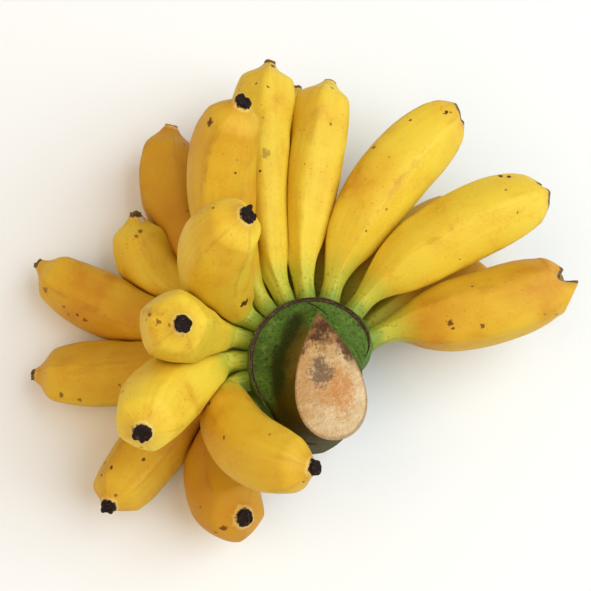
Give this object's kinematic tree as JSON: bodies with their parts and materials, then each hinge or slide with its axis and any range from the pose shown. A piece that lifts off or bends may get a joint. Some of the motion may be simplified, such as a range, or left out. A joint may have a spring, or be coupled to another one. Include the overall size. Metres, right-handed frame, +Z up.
{
  "type": "bunch of bananas",
  "caption": "Hand of short, plump ripe bananas fanned in rows round a green crown with an obliquely cut stub of stalk, lying on its back row.",
  "frame": {"origin": "middle of the footprint, on the surface that the hand lies on", "axes": "+Z up from the surface, through the cut stub of stalk; +X along the widest spread of the fan, towards the finger at the right of the bare side; -Y towards the bare side of the crown, where no fingers grow"},
  "size_m": [0.2498, 0.2232, 0.1181],
  "materials": {
    "banana_peel": "ripe yellow peel with a soft waxy sheen, yellow-green at the neck, small brown specks, dried black-brown flower end",
    "crown_green": "dull green stalk skin with a brown scar ring, pale fibrous cut faces turning brown at the edge"
  },
  "bodies": {
    "root": {"crown": "crown_green", "finger_front_01": "banana_peel", "finger_front_02": "banana_peel", "finger_front_03": "banana_peel", "finger_front_04": "banana_peel", "finger_front_05": "banana_peel", "finger_front_06": "banana_peel", "finger_front_07": "banana_peel", "finger_front_08": "banana_peel", "finger_front_09": "banana_peel", "finger_front_10": "banana_peel", "finger_back_01": "banana_peel", "finger_back_02": "banana_peel", "finger_back_03": "banana_peel", "finger_back_04": "banana_peel", "finger_back_05": "banana_peel", "finger_back_06": "banana_peel", "finger_back_07": "banana_peel", "finger_back_08": "banana_peel", "finger_back_09": "banana_peel", "finger_back_10": "banana_peel"}
  },
  "joints": []
}
